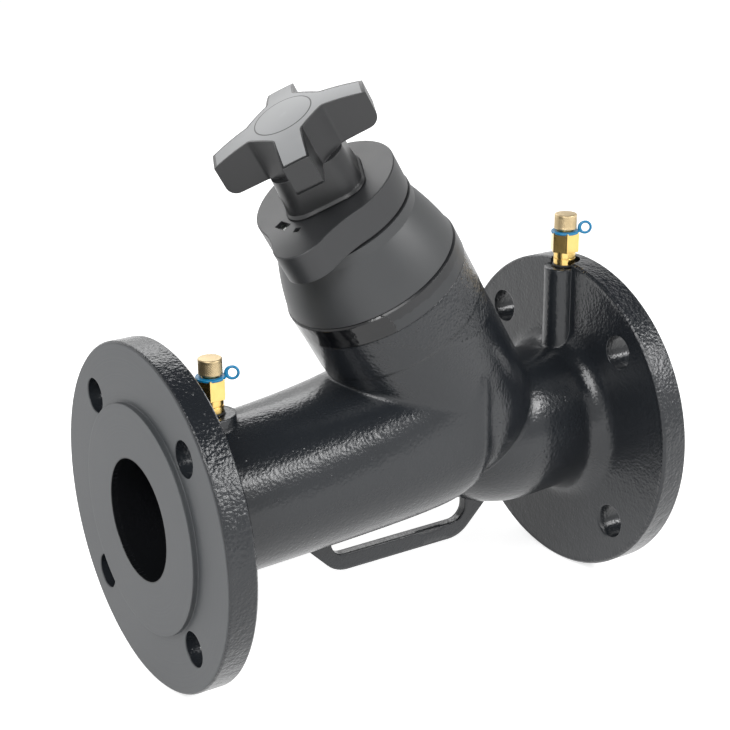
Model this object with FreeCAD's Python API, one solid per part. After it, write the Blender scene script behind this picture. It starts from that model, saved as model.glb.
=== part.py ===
"""Flanged circuit balancing valve, DN65 PN16, with an inclined stem.

Row frame, millimetres: the origin is the centre of the outlet flange's raised face, +X runs along the
pipe to the inlet flange, +Z is up, and the stem leans over the outlet in the plane y = 0.

Stem frame: its origin is where the stem's axis meets the pipe's axis. Local z is the height along the
stem, local x points up and towards the inlet, and local y is the row's y. Every piece on the stem is
drawn upright in that frame and then leaned over by on_stem().

The valve is drawn closed, with its plug on the seat.
"""
import FreeCAD, Part
import math
import os

from FreeCAD import Placement, Rotation, Vector

# Pipe connection
face_to_face = 290.0
bore_diameter = 65.0
flange_diameter = 185.0
flange_thickness = 19.0
raised_face_diameter = 122.0
raised_face_height = 3.0
bolt_circle = 145.0
bolt_hole = 19.0
bolt_count = 4
flange_edge = 1.2

# Body casting
outlet_neck_radius = 42.0
outlet_neck_fillet = 5.0
inlet_neck_radius = 41.8
inlet_neck_fillet = 12.0
inlet_bulge_radius = 43.0
inlet_bulge_x = 232.0
inlet_dome_length = 62.0
shoulder_half_width = 50.5
shoulder_half_height = 46.5
shoulder_rise = 18.0
lip_setback = 9.0
lip_depth = 13.0
lip_turn = 75.0
shoulder_sharpness = 3.0
body_wall = 8.5
straight_bore = 40.0
passage_shift = 6.0

# Stem axis
stem_angle = 60.0
stem_cross_x = 205.0
bowl_centre_height = 30.5
neck_radius = 48.2
neck_band = 23.5
neck_step = 0.4
neck_top_height = 114.7
chamber_radius = 40.0

# Seat and passages round it
seat_height = 6.0
partition_thickness = 9.0
seat_hole_radius = 29.0
seat_hole_depth = 14.0
seat_ring_inner = 27.0
seat_ring_outer = 32.0
seat_ring_depth = 5.0
seat_ring_lip = 1.0

# Lifting loop under the body
loop_thickness = 6.0
loop_bottom_z = -61.0
loop_bar = 9.5
loop_left_x = 94.0
loop_right_x = 222.0
loop_slope_run = 22.0
loop_window_left_x = 113.0
loop_window_right_x = 204.0
loop_corner = 9.0

# Test points
outlet_point_x = 45.2
outlet_boss_radius = 12.5
outlet_boss_top = 48.6
inlet_point_x = 273.4
inlet_boss_radius = 9.5
inlet_boss_top = 88.5
point_thread_radius = 6.4
point_thread_length = 10.0
point_spot_face = 9.0
point_drill_radius = 2.0
point_waist_radius = 5.2
point_collar_radius = 6.2
point_collar_height = 7.4
point_groove = 0.5
point_hex_across = 14.4
point_hex_height = 11.2
point_spigot_radius = 4.4
point_spigot_height = 8.0
point_seal_bore = 3.2
point_probe_bore = 1.3
point_oring_section = 1.5
strap_thickness = 1.4
strap_ring_radius = 8.0
strap_loop_radius = 3.9
strap_loop_wall = 0.9
strap_loop_width = 1.6
strap_heading = -31.0
cap_radius = 6.35
cap_height = 8.6
cap_wall = 1.9
cap_bevel = 0.6
cap_flutes = 24
cap_flute_depth = 0.25

# Plug and spindle
plug_radius = 32.5
plug_thickness = 8.0
plug_seal_inner = 24.5
plug_seal_outer = 31.5
plug_seal_thickness = 3.0
seat_gap = 0.1
sleeve_radius = 14.0
sleeve_engagement = 8.0
plug_key_width = 5.0
plug_key_reach = 3.0
plug_key_length = 12.0
throttle_radius = 26.6
throttle_tip_radius = 17.0
throttle_length = 13.0
plug_screw_radius = 4.0
plug_screw_head = 7.0
plug_screw_head_height = 5.0
plug_screw_sink = 4.0
plug_roof = 3.0
spindle_thread_radius = 8.0
spindle_radius = 9.0
spindle_drive_radius = 7.0
spindle_drive_flat = 5.6
spindle_bottom_height = 40.0
spindle_collar_radius = 12.5
spindle_collar_depth = 18.2
spindle_collar_thickness = 4.5
spindle_reach = 2.0
running_gap = 0.05

# Bonnet and gland
bonnet_ring_radius = 49.0
bonnet_ring_height = 12.5
bonnet_plug_depth = 17.0
bonnet_plug_gap = 0.1
guide_radius = 20.0
guide_length = 35.7
oring_section = 3.0
gland_radius = 14.5
gland_hex_across = 26.0
gland_hex_height = 6.0
thrust_washer_thickness = 1.2
spindle_seal_section = 2.2
seal_spare = 0.1

# Indicator housing
cone_base_radius = 48.2
cone_shoulder_radius = 44.6
cone_shoulder_rise = 14.4
cone_neck_radius = 39.5
cone_neck_rise = 14.0
cone_top_rise = 6.0
cone_base_gap = 0.4
housing_wall = 2.5
cone_floor_rise = 6.0
housing_gap = 1.7
housing_cap_depth = 16.8
cap_lobe_x = -32.4
cap_lobe_y = -22.8
cap_lobe_radius = 15.6
cap_waist_radius = 50.0
cap_big_radius = 39.0
cap_plate = 2.2
cap_edge = 0.4
cap_skirt_depth = 6.0
hub_hole_radius = 16.0
window_thickness = 1.0
big_window_radius = 30.2
big_window_heading = 184.0
big_window_width = 5.0
big_window_length = 8.6
small_window_radius = 32.6
small_window_heading = 207.0
small_window_width = 3.4
small_window_length = 3.6
lens_width = 11.0
lens_length = 26.0
housing_screw_count = 3
housing_screw_circle = 27.0
housing_screw_radius = 2.0
housing_post_radius = 4.8
dial_thickness = 1.2
dial_gap = 0.5
tenths_dial_radius = 34.0
units_dial_radius = 11.5
dial_post_radius = 2.0

# Handwheel
wheel_gap = 0.6
wheel_heading = 61.3
column_half_width = 21.0
column_top_half_width = 19.8
column_corner = 11.5
column_lip = 1.2
column_length = 22.5
arm_reach = 42.0
arm_root_half_width = 8.6
arm_tip_half_width = 7.2
arm_corner = 6.0
arm_fillet = 3.0
web_half_width = 20.0
arm_depth = 24.8
wheel_tip_drop = 6.0
wheel_wall = 3.0
plate_thickness = 1.2
plate_margin = 1.1
plate_reach = 40.2
hub_radius = 14.0
hub_rise = 2.3
wheel_screw_radius = 3.0
wheel_screw_head_radius = 5.0
wheel_screw_head_height = 4.0
wheel_screw_key = 5.0
wheel_washer_radius = 7.5
wheel_washer_thickness = 1.5
wheel_screw_length = 16.0

# Levels along the stem, each from the one below it
neck_step_height = neck_top_height - neck_band
bonnet_top = neck_top_height + bonnet_ring_height
guide_bottom_height = neck_top_height - bonnet_plug_depth - guide_length
sleeve_top_height = guide_bottom_height + sleeve_engagement
spindle_collar_height = neck_top_height - spindle_collar_depth
cone_base = bonnet_top + cone_base_gap
cone_shoulder_height = cone_base + cone_shoulder_rise
cone_floor_height = cone_shoulder_height + cone_floor_rise
cone_neck_height = cone_shoulder_height + cone_neck_rise
cone_top_height = cone_neck_height + cone_top_rise
cap_bottom_height = cone_top_height + housing_gap
cap_top_height = cap_bottom_height + housing_cap_depth
cavity_top = cap_top_height - cap_plate
hub_bottom_height = cap_bottom_height + hub_rise
arm_bottom_height = cap_top_height + column_length
spindle_top_height = arm_bottom_height + spindle_reach
wheel_top_height = arm_bottom_height + arm_depth

lean = 90.0 - stem_angle
stem_place = Placement(Vector(stem_cross_x, 0, 0), Rotation(Vector(0, 1, 0), -lean))
far_out = 2 * face_to_face
bore_radius = bore_diameter / 2
flange_radius = flange_diameter / 2
X = Vector(1, 0, 0)
Y = Vector(0, 1, 0)
Z = Vector(0, 0, 1)


def on_stem(shape):
    """A copy of a shape drawn in the stem frame, moved to its place in the row frame."""
    placed = shape.copy()
    placed.Placement = stem_place.multiply(placed.Placement)
    return placed


def stem_point(height, across=0.0, side=0.0):
    return stem_place.multVec(Vector(across, side, height))


def outline_face(steps, plane="xz"):
    """A face from (a, b) corners, or (a, b, mid_a, mid_b) for an arc that ends at a, b."""
    def spot(a, b):
        return Vector(a, 0, b) if plane == "xz" else Vector(a, b, 0)
    edges = []
    here = spot(steps[0][0], steps[0][1])
    for step in list(steps[1:]) + [steps[0][:2]]:
        there = spot(step[0], step[1])
        if len(step) == 4:
            edges.append(Part.Arc(here, spot(step[2], step[3]), there).toShape())
        elif (there - here).Length > 1e-6:
            edges.append(Part.makeLine(here, there))
        here = there
    return Part.Face(Part.Wire(edges))


def turned_x(steps):
    """A solid turned about the pipe axis from (x, radius) steps."""
    return outline_face(steps).revolve(Vector(0, 0, 0), X, 360)


def turned_z(steps):
    """A solid turned about the local z axis from (radius, height) steps."""
    return outline_face(steps).revolve(Vector(0, 0, 0), Z, 360)


def disc(radius, bottom, top, inner=0.0, x=0.0, y=0.0):
    solid = Part.makeCylinder(radius, top - bottom, Vector(x, y, bottom))
    if inner:
        solid = solid.cut(Part.makeCylinder(inner, top - bottom, Vector(x, y, bottom)))
    return solid


def block(x0, x1, y0, y1, z0, z1):
    return Part.makeBox(x1 - x0, y1 - y0, z1 - z0, Vector(x0, y0, z0))


def hexagon(across, bottom, top, x=0.0, y=0.0):
    corner = across / math.sqrt(3)
    turns = [math.radians(60 * k) for k in range(7)]
    spots = [Vector(x + corner * math.cos(turn), y + corner * math.sin(turn), bottom) for turn in turns]
    return Part.Face(Part.makePolygon(spots)).extrude(Vector(0, 0, top - bottom))


def seal_ring(radius, section, height, x=0.0):
    """A rubber ring of eight-sided section, whose flats touch the walls that a round one would."""
    half = section / 2
    flat = half * math.tan(math.radians(22.5))
    corners = [(half, -flat), (half, flat), (flat, half), (-flat, half), (-half, flat), (-half, -flat),
               (-flat, -half), (flat, -half)]
    ring = turned_z([(radius + across, height + up) for across, up in corners])
    ring.translate(Vector(x, 0, 0))
    return ring


def one(shape):
    """The single solid of a finished shape."""
    solids = shape.removeSplitter().Solids
    return solids[0] if len(solids) == 1 else Part.makeCompound(solids)


def save(name, shape):
    shape.exportStep("parts/" + name + ".step")


def quarter_mid(x, r, radius, towards_x, towards_r):
    """The middle point of a quarter arc whose centre is at x, r."""
    half = radius * math.sqrt(0.5)
    return x + towards_x * half, r + towards_r * half


def flange(face_x, inward, neck, fillet):
    """A flange with its raised face at face_x, growing towards +X or -X, and its concave fillet onto the neck."""
    def at(depth):
        return face_x + inward * depth
    raised = raised_face_diameter / 2
    end = flange_thickness + fillet
    mid_x, mid_r = quarter_mid(at(end), neck + fillet, fillet, -inward, -1)
    return turned_x([(at(0), 0.0), (at(0), raised), (at(raised_face_height), raised),
                     (at(raised_face_height), flange_radius - flange_edge),
                     (at(raised_face_height + flange_edge), flange_radius),
                     (at(flange_thickness - flange_edge), flange_radius),
                     (at(flange_thickness), flange_radius - flange_edge),
                     (at(flange_thickness), neck + fillet), (at(end), neck, mid_x, mid_r), (at(end), 0.0)])


def pipe_section(x, half_width, half_height, centre_z, sharpness=0.0):
    """An upright section across the pipe: an ellipse, whose two upper quarters a sharpness makes squarer."""
    corners = [(1, 0), (1, 1), (0, 1), (-1, 1), (-1, 0), (-1, -1), (0, -1), (1, -1), (1, 0)]
    poles = [Vector(x, side * half_width, centre_z + up * half_height) for side, up in corners]
    quarters = []
    for k in range(4):
        quarter = Part.BezierCurve()
        quarter.setPoles(poles[2 * k:2 * k + 3])
        quarter.setWeight(2, math.sqrt(0.5) + (sharpness if k < 2 else 0.0))
        quarters.append(quarter.toShape())
    return Part.Wire(quarters)


bowl_centre = stem_point(bowl_centre_height)
outlet_body_end = bowl_centre.x - lip_setback
lip_length = lip_depth + lip_setback


def outlet_loft(start_x, start_radius, inset, sharpness, sections, ruled):
    """The outlet's form, round at its start and wider, higher and square-shouldered at the bowl."""
    wires = []
    for k in range(sections):
        share = k / (sections - 1)
        grow = share * share
        half_width = start_radius + (shoulder_half_width - inset - start_radius) * grow
        half_height = start_radius + (shoulder_half_height - inset - start_radius) * grow
        x = start_x + (outlet_body_end - start_x) * share
        wires.append(pipe_section(x, half_width, half_height, shoulder_rise * grow, sharpness * grow * grow))
    return Part.makeLoft(wires, True, ruled)


def outlet_end(inset, sharpness, sections, ruled):
    """The rounded end of the outlet's form, most of which the bowl hides."""
    wires = []
    for k in range(sections):
        turn = math.radians(lip_turn * k / (sections - 1))
        x = outlet_body_end + (lip_length - inset) * math.sin(turn)
        shrink = math.cos(turn)
        wires.append(pipe_section(x, (shoulder_half_width - inset) * shrink, (shoulder_half_height - inset) * shrink,
                                  shoulder_rise, sharpness))
    return Part.makeLoft(wires, True, ruled)


def inlet_form(radius, centre_x, dome_length, neck, to_x):
    """The inlet's neck with its rounded end under the bowl, turned about the pipe axis."""
    ellipse = Part.Ellipse(Vector(centre_x - dome_length, 0, 0), Vector(centre_x, 0, radius), Vector(centre_x, 0, 0))
    dome = Part.ArcOfEllipse(ellipse, 0, math.pi / 2).toShape()
    ends = [vertex.Point for vertex in dome.Vertexes]
    crown = max(ends, key=lambda p: p.z)
    tip = min(ends, key=lambda p: p.z)
    throat = Vector(to_x, 0, neck)
    edges = [dome, Part.makeLine(crown, throat), Part.makeLine(throat, Vector(to_x, 0, 0)),
             Part.makeLine(Vector(to_x, 0, 0), tip)]
    return Part.Face(Part.Wire(Part.__sortEdges__(edges))).revolve(Vector(0, 0, 0), X, 360)


def lifting_loop():
    """A flat cast rib under the body with a long window, which a sling goes through."""
    top_z = 0.0
    left = loop_left_x
    right = loop_right_x
    low = loop_bottom_z
    outline = [(left - loop_slope_run, top_z), (left, low + loop_slope_run), (left + loop_slope_run, low),
               (right - loop_slope_run, low), (right, low + loop_slope_run), (right, top_z)]
    solid = outline_face(outline).extrude(Vector(0, loop_thickness, 0))
    gap = block(loop_window_left_x, loop_window_right_x, -1, loop_thickness + 1, low + loop_bar, top_z - 1)
    gap = gap.makeFillet(loop_corner, upright_edges(gap, low + loop_bar))
    solid = solid.makeFillet(loop_corner + loop_bar, upright_edges(solid, low))
    solid = solid.cut(gap)
    solid.translate(Vector(0, -loop_thickness / 2, 0))
    return solid


def upright_edges(solid, z):
    """The edges along y that lie at height z."""
    return [edge for edge in solid.Edges
            if all(abs(vertex.Point.z - z) < 1e-6 for vertex in edge.Vertexes)
            and abs(edge.Vertexes[0].Point.y - edge.Vertexes[-1].Point.y) > 1]


def bolt_holes(face_x, inward):
    holes = []
    for k in range(bolt_count):
        angle = math.radians(360 / bolt_count * (k + 0.5))
        centre = Vector(face_x - inward, bolt_circle / 2 * math.cos(angle), bolt_circle / 2 * math.sin(angle))
        holes.append(Part.makeCylinder(bolt_hole / 2, flange_thickness + 2, centre, X * inward))
    return holes


def stem_column():
    """The bowl and the bonnet's neck, turned about the stem."""
    bowl_tip = bowl_centre_height - neck_radius
    slope = neck_radius * math.sqrt(0.5)
    return on_stem(turned_z([(0.0, bowl_tip), (neck_radius, bowl_centre_height, slope, bowl_centre_height - slope),
                             (neck_radius, neck_step_height), (neck_radius + neck_step, neck_step_height + neck_step),
                             (neck_radius + neck_step, neck_top_height), (0.0, neck_top_height)]))


def boss(x, radius, top):
    """An upright boss for a test point, standing on the pipe."""
    return disc(radius, bore_radius + body_wall / 2, top, x=x)


def body_outside():
    inlet = inlet_form(inlet_bulge_radius, inlet_bulge_x, inlet_dome_length, inlet_neck_radius,
                       face_to_face - flange_thickness - inlet_neck_fillet)
    start_x = flange_thickness + outlet_neck_fillet
    outlet = outlet_loft(start_x, outlet_neck_radius, 0.0, shoulder_sharpness, 3, False)
    outlet = outlet.fuse(outlet_end(0.0, shoulder_sharpness, 5, False))
    solid = outlet.multiFuse([stem_column(), inlet])
    solid = solid.multiFuse([flange(0, 1, outlet_neck_radius, outlet_neck_fillet),
                             flange(face_to_face, -1, inlet_neck_radius, inlet_neck_fillet)])
    return solid.multiFuse([boss(outlet_point_x, outlet_boss_radius, outlet_boss_top),
                            boss(inlet_point_x - inlet_boss_radius / 4, inlet_boss_radius, inlet_boss_top),
                            lifting_loop()])


def outlet_passage():
    """The space above the partition: the outlet bore, its widening and the chamber round the plug."""
    bore = Part.makeCylinder(bore_radius, straight_bore + 1, Vector(-1, 0, 0), X)
    widening = outlet_loft(straight_bore, bore_radius, body_wall, 0.0, 4, True)
    end = outlet_end(body_wall, 0.0, 3, True)
    chamber = on_stem(turned_z([(0.0, seat_height), (seat_ring_outer + 2, seat_height),
                                (chamber_radius, bowl_centre_height), (chamber_radius, neck_top_height + 1),
                                (0.0, neck_top_height + 1)]))
    below = on_stem(block(-far_out, far_out, -far_out, far_out, -far_out, seat_height))
    return bore.fuse([widening, end]).cut(below).fuse(chamber)


def inlet_passage():
    """The space under the partition: the straight inlet bore, which widens to a rounded end below the seat."""
    bore_end = face_to_face - straight_bore
    space = inlet_form(inlet_bulge_radius - body_wall, inlet_bulge_x - passage_shift,
                       inlet_dome_length - body_wall - passage_shift / 2, bore_radius, bore_end)
    above = on_stem(block(-far_out, far_out, -far_out, far_out, seat_height - partition_thickness, far_out))
    straight = Part.makeCylinder(bore_radius, straight_bore + 1, Vector(bore_end, 0, 0), X)
    return space.cut(above).fuse(straight)


def point_hole(x, top):
    """The threaded hole of a test point, its drilling and the face cut for its seal."""
    hole = disc(point_thread_radius, top - point_thread_length, top + 1, x=x)
    return hole.fuse([disc(point_drill_radius, 0.0, top, x=x), disc(point_spot_face, top, flange_radius + 1, x=x)])


def valve_body():
    solid = body_outside()
    seat_hole = on_stem(disc(seat_hole_radius, seat_height - seat_hole_depth, seat_height + 1))
    seat_pocket = on_stem(disc(seat_ring_outer, seat_height - seat_ring_depth, seat_height + 1))
    tools = [outlet_passage(), inlet_passage(), seat_hole, seat_pocket,
             point_hole(outlet_point_x, outlet_boss_top), point_hole(inlet_point_x, inlet_boss_top)]
    tools += bolt_holes(0, 1) + bolt_holes(face_to_face, -1)
    for tool in tools:
        solid = solid.cut(tool)
    return one(solid)


seat_top = seat_height + seat_ring_lip
plug_bottom = seat_top + seat_gap + plug_seal_thickness
plug_top = plug_bottom + plug_thickness
collar_top = spindle_collar_height + spindle_collar_thickness
washer_top = collar_top + thrust_washer_thickness
key_reach = sleeve_radius + plug_key_reach


def seat_ring():
    bottom = seat_height - seat_ring_depth
    mid = (seat_ring_inner + seat_ring_outer) / 2
    return turned_z([(seat_ring_inner, bottom), (seat_ring_outer, bottom), (seat_ring_outer, seat_height),
                     (mid + 1, seat_height), (mid + 1, seat_top), (mid - 1, seat_top),
                     (seat_ring_inner, seat_top - 1.5)])


def plug_seal():
    return disc(plug_seal_outer, seat_top + seat_gap, plug_bottom, plug_seal_inner)


def plug():
    """The valve plug with its long threaded sleeve and the two keys that stop it turning."""
    solid = turned_z([(0.0, plug_bottom), (plug_radius, plug_bottom), (plug_radius, plug_top - 2),
                      (plug_radius - 2, plug_top), (sleeve_radius + 3, plug_top),
                      (sleeve_radius, plug_top + 3), (sleeve_radius, sleeve_top_height), (0.0, sleeve_top_height)])
    for side in (-1, 1):
        inner = sleeve_radius - 1
        key = block(min(side * inner, side * key_reach), max(side * inner, side * key_reach),
                    -plug_key_width / 2, plug_key_width / 2, sleeve_top_height - plug_key_length, sleeve_top_height)
        solid = solid.fuse(key)
    solid = solid.cut(disc(spindle_thread_radius + running_gap, plug_top - 1, sleeve_top_height + 1))
    solid = solid.cut(disc(plug_screw_radius, plug_bottom - 1, plug_top - plug_roof))
    return one(solid)


def throttle_cone():
    """The contoured disc under the plug, which holds the seal and shapes the flow through the seat."""
    bottom = plug_bottom - throttle_length
    bulge_r = throttle_tip_radius + (throttle_radius - throttle_tip_radius) * 0.75
    bulge_h = bottom + (throttle_length - 3) * 0.4
    solid = turned_z([(plug_screw_radius + running_gap, bottom), (throttle_tip_radius, bottom),
                      (throttle_radius, seat_top - 1, bulge_r, bulge_h), (throttle_radius, seat_top + seat_gap),
                      (plug_seal_inner, seat_top + seat_gap), (plug_seal_inner, plug_bottom),
                      (plug_screw_radius + running_gap, plug_bottom)])
    recess = disc(plug_screw_head + 1, bottom - 1, bottom + plug_screw_sink)
    return one(solid.cut(recess))


def plug_screw():
    """The screw that clamps the throttle cone and its seal to the plug."""
    head_top = plug_bottom - throttle_length + plug_screw_sink
    shank = disc(plug_screw_radius, head_top, plug_top - plug_roof - 1)
    head = hexagon(plug_screw_head * math.sqrt(3), head_top - plug_screw_head_height, head_top)
    return one(shank.fuse(head))


def spindle():
    """The non-rising spindle: thread, thrust collar, sealing shank and the flats that the wheel sits on."""
    solid = turned_z([(0.0, spindle_bottom_height), (spindle_thread_radius - 1, spindle_bottom_height),
                      (spindle_thread_radius, spindle_bottom_height + 1),
                      (spindle_thread_radius, spindle_collar_height), (spindle_collar_radius, spindle_collar_height),
                      (spindle_collar_radius, collar_top), (spindle_radius, collar_top),
                      (spindle_radius, hub_bottom_height - 1), (spindle_drive_radius, hub_bottom_height),
                      (spindle_drive_radius, spindle_top_height - 0.5), (spindle_drive_radius - 0.5, spindle_top_height),
                      (0.0, spindle_top_height)])
    for flat in drive_flats():
        solid = solid.cut(flat)
    solid = solid.cut(disc(wheel_screw_radius, spindle_top_height - wheel_screw_length, spindle_top_height + 1))
    return one(solid)


def drive_flats():
    """The two blocks that take the flats off the spindle's top, and off the wheel's socket round it."""
    far = spindle_drive_radius + 1
    bottom = hub_bottom_height
    top = spindle_top_height + 1
    return [block(-far, -spindle_drive_flat, -far, far, bottom, top), block(spindle_drive_flat, far, -far, far, bottom, top)]


def thrust_washer():
    return disc(spindle_collar_radius, collar_top, washer_top, spindle_radius + running_gap)


def bonnet():
    """The bonnet: a ring that closes the neck, a plug with a seal groove and the guide for the sleeve."""
    plug_r = chamber_radius - bonnet_plug_gap
    plug_bottom_h = neck_top_height - bonnet_plug_depth
    solid = turned_z([(0.0, guide_bottom_height), (guide_radius, guide_bottom_height), (guide_radius, plug_bottom_h),
                      (plug_r - 1, plug_bottom_h), (plug_r, plug_bottom_h + 1), (plug_r, neck_top_height),
                      (bonnet_ring_radius, neck_top_height), (bonnet_ring_radius, bonnet_top - 1),
                      (bonnet_ring_radius - 1, bonnet_top), (0.0, bonnet_top)])
    groove_height = neck_top_height - bonnet_plug_depth / 2
    groove = disc(plug_r + 1, groove_height - oring_section / 2, groove_height + oring_section / 2,
                  chamber_radius - oring_section)
    solid = solid.cut(groove)
    bore_top = spindle_collar_height - 4
    solid = solid.cut(disc(sleeve_radius + running_gap, guide_bottom_height - 1, bore_top))
    for side in (-1, 1):
        reach = side * (key_reach + running_gap)
        keyway = block(min(0, reach), max(0, reach), -plug_key_width / 2 - running_gap,
                       plug_key_width / 2 + running_gap, guide_bottom_height - 1, bore_top)
        solid = solid.cut(keyway)
    solid = solid.cut(disc(spindle_thread_radius + running_gap, bore_top - 1, bonnet_top + 1))
    solid = solid.cut(disc(spindle_collar_radius + running_gap, spindle_collar_height - running_gap, bonnet_top + 1))
    solid = solid.cut(disc(gland_radius, washer_top + running_gap, bonnet_top + 1))
    return one(solid)


def bonnet_seal():
    return seal_ring(chamber_radius - oring_section / 2, oring_section, neck_top_height - bonnet_plug_depth / 2)


def gland():
    """The gland nut that keeps the spindle's collar down, with grooves for the spindle seals."""
    bottom = washer_top + running_gap
    solid = disc(gland_radius, bottom, bonnet_top + 0.5).fuse(
        hexagon(gland_hex_across, bonnet_top + 0.5, bonnet_top + 0.5 + gland_hex_height))
    solid = solid.cut(disc(spindle_radius + running_gap, bottom - 1, bonnet_top + gland_hex_height + 2))
    for height in spindle_seal_heights():
        solid = solid.cut(disc(spindle_radius + spindle_seal_section, height - spindle_seal_section / 2,
                               height + spindle_seal_section / 2))
    return one(solid)


def spindle_seal_heights():
    middle = (washer_top + bonnet_top) / 2
    return [middle - spindle_seal_section * 1.5, middle + spindle_seal_section * 1.5]


def spindle_seals():
    middle = spindle_radius + running_gap + spindle_seal_section / 2
    rings = [seal_ring(middle, spindle_seal_section - seal_spare, height) for height in spindle_seal_heights()]
    return Part.makeCompound(rings)


def housing_cone():
    """The lower indicator housing: a flared shell with a floor that is screwed to the bonnet."""
    outer = turned_z([(0.0, cone_base), (cone_base_radius, cone_base),
                      (cone_neck_radius, cone_neck_height, cone_shoulder_radius, cone_shoulder_height),
                      (cone_neck_radius, cone_top_height), (0.0, cone_top_height)])
    wall = housing_wall
    inside_low = turned_z([(0.0, cone_base - 1), (cone_base_radius - wall, cone_base - 1),
                           (cone_base_radius - wall, cone_base), (cone_shoulder_radius - wall, cone_shoulder_height),
                           (cone_shoulder_radius - wall - 1, cone_floor_height - wall),
                           (0.0, cone_floor_height - wall)])
    inside_high = disc(cone_neck_radius - wall, cone_floor_height, cone_top_height + 1)
    solid = outer.cut(inside_low).cut(inside_high)
    for x, y in screw_spots():
        solid = solid.fuse(disc(housing_post_radius, bonnet_top, cone_floor_height - wall / 2, x=x, y=y))
    for x, y in screw_spots():
        solid = solid.cut(disc(housing_screw_radius + 0.1, bonnet_top - 1, cone_floor_height + 1, x=x, y=y))
    return one(solid.cut(disc(hub_hole_radius, bonnet_top, cone_floor_height + 1)))


def screw_spots():
    spots = []
    for k in range(housing_screw_count):
        angle = math.radians(60 + 360 / housing_screw_count * k)
        spots.append((housing_screw_circle * math.cos(angle), housing_screw_circle * math.sin(angle)))
    return spots


def housing_screws():
    screws = []
    for x, y in screw_spots():
        shank = disc(housing_screw_radius, bonnet_top, cone_floor_height, x=x, y=y)
        head_top = cone_floor_height + housing_screw_radius
        screws.append(one(shank.fuse(disc(2 * housing_screw_radius, cone_floor_height, head_top, x=x, y=y))))
    return Part.makeCompound(screws)


def lobed_outline(inset, bottom, top):
    """The cap's outline: a big circle on the stem and a lobe beside it, joined by two hollow arcs."""
    big = cap_big_radius - inset
    small = cap_lobe_radius - inset
    waist = cap_waist_radius + inset
    far = math.hypot(cap_lobe_x, cap_lobe_y)
    heading = math.atan2(cap_lobe_y, cap_lobe_x)
    along = (far * far + (big + waist) ** 2 - (small + waist) ** 2) / (2 * far)
    aside = math.sqrt((big + waist) ** 2 - along ** 2)

    def spot(a, b):
        return Rotation(Z, math.degrees(heading)).multVec(Vector(a, b, 0)) + Vector(0, 0, bottom)

    def between(centre, other, radius):
        step = (other[0] - centre[0], other[1] - centre[1])
        length = math.hypot(*step)
        return centre[0] + step[0] / length * radius, centre[1] + step[1] / length * radius

    edges = []
    lobe = (far, 0.0)
    upper = (along, aside)
    on_big = between((0.0, 0.0), upper, big)
    on_lobe = between(lobe, upper, small)
    mid = between(upper, ((on_big[0] + on_lobe[0]) / 2, (on_big[1] + on_lobe[1]) / 2), waist)
    for sign in (1, -1):
        edges.append(Part.Arc(spot(on_big[0], sign * on_big[1]), spot(mid[0], sign * mid[1]),
                              spot(on_lobe[0], sign * on_lobe[1])).toShape())
    edges.append(Part.Arc(spot(on_big[0], on_big[1]), spot(-big, 0), spot(on_big[0], -on_big[1])).toShape())
    edges.append(Part.Arc(spot(on_lobe[0], on_lobe[1]), spot(far + small, 0), spot(on_lobe[0], -on_lobe[1])).toShape())
    wire = Part.Wire(Part.__sortEdges__(edges))
    return Part.Face(wire).extrude(Vector(0, 0, top - bottom))


def window(radius, heading, width, length, bottom, top):
    slot = block(radius - width / 2, radius + width / 2, -length / 2, length / 2, bottom, top)
    slot.rotate(Vector(0, 0, 0), Z, heading)
    return slot


def both_windows(bottom, top):
    return [window(big_window_radius, big_window_heading, big_window_width, big_window_length, bottom, top),
            window(small_window_radius, small_window_heading, small_window_width, small_window_length, bottom, top)]


def housing_cap():
    """The lobed cap over the dials, with two windows and a floor under its lobe."""
    floor = cap_bottom_height + cap_plate
    solid = lobed_outline(0.0, cap_bottom_height, cap_top_height)
    rim = [edge for edge in solid.Edges if all(abs(v.Point.z - cap_top_height) < 1e-6 for v in edge.Vertexes)]
    solid = solid.makeChamfer(cap_edge, rim)
    solid = solid.cut(lobed_outline(housing_wall, floor, cavity_top))
    skirt_radius = cone_neck_radius - housing_wall - running_gap * 2
    solid = solid.cut(disc(skirt_radius - housing_wall / 2, cap_bottom_height - 1, floor + 1))
    solid = solid.fuse(disc(skirt_radius, cap_bottom_height - cap_skirt_depth, floor, skirt_radius - housing_wall / 2))
    solid = solid.cut(disc(hub_hole_radius, cavity_top - 1, cap_top_height + 1))
    for slot in both_windows(cavity_top - 1, cap_top_height + 1):
        solid = solid.cut(slot)
    post = disc(dial_post_radius, cap_bottom_height + 1, units_dial_height() + dial_thickness,
                x=cap_lobe_x, y=cap_lobe_y)
    return one(solid.fuse(post))


def window_lens():
    """The clear strip under both windows."""
    strip = lobed_outline(housing_wall + 1.5, cavity_top - window_thickness, cavity_top)
    keep = window(big_window_radius + 1, (big_window_heading + small_window_heading) / 2, lens_width, lens_length,
                  cavity_top - cap_plate, cavity_top)
    return one(strip.common(keep))


def units_dial_height():
    return cavity_top - window_thickness - dial_gap - dial_thickness


def tenths_dial_height():
    return units_dial_height() - dial_gap - dial_thickness


def units_dial():
    height = units_dial_height()
    return disc(units_dial_radius, height, height + dial_thickness, dial_post_radius + running_gap,
                cap_lobe_x, cap_lobe_y)


def tenths_dial():
    height = tenths_dial_height()
    return disc(tenths_dial_radius, height, height + dial_thickness, hub_radius)


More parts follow.
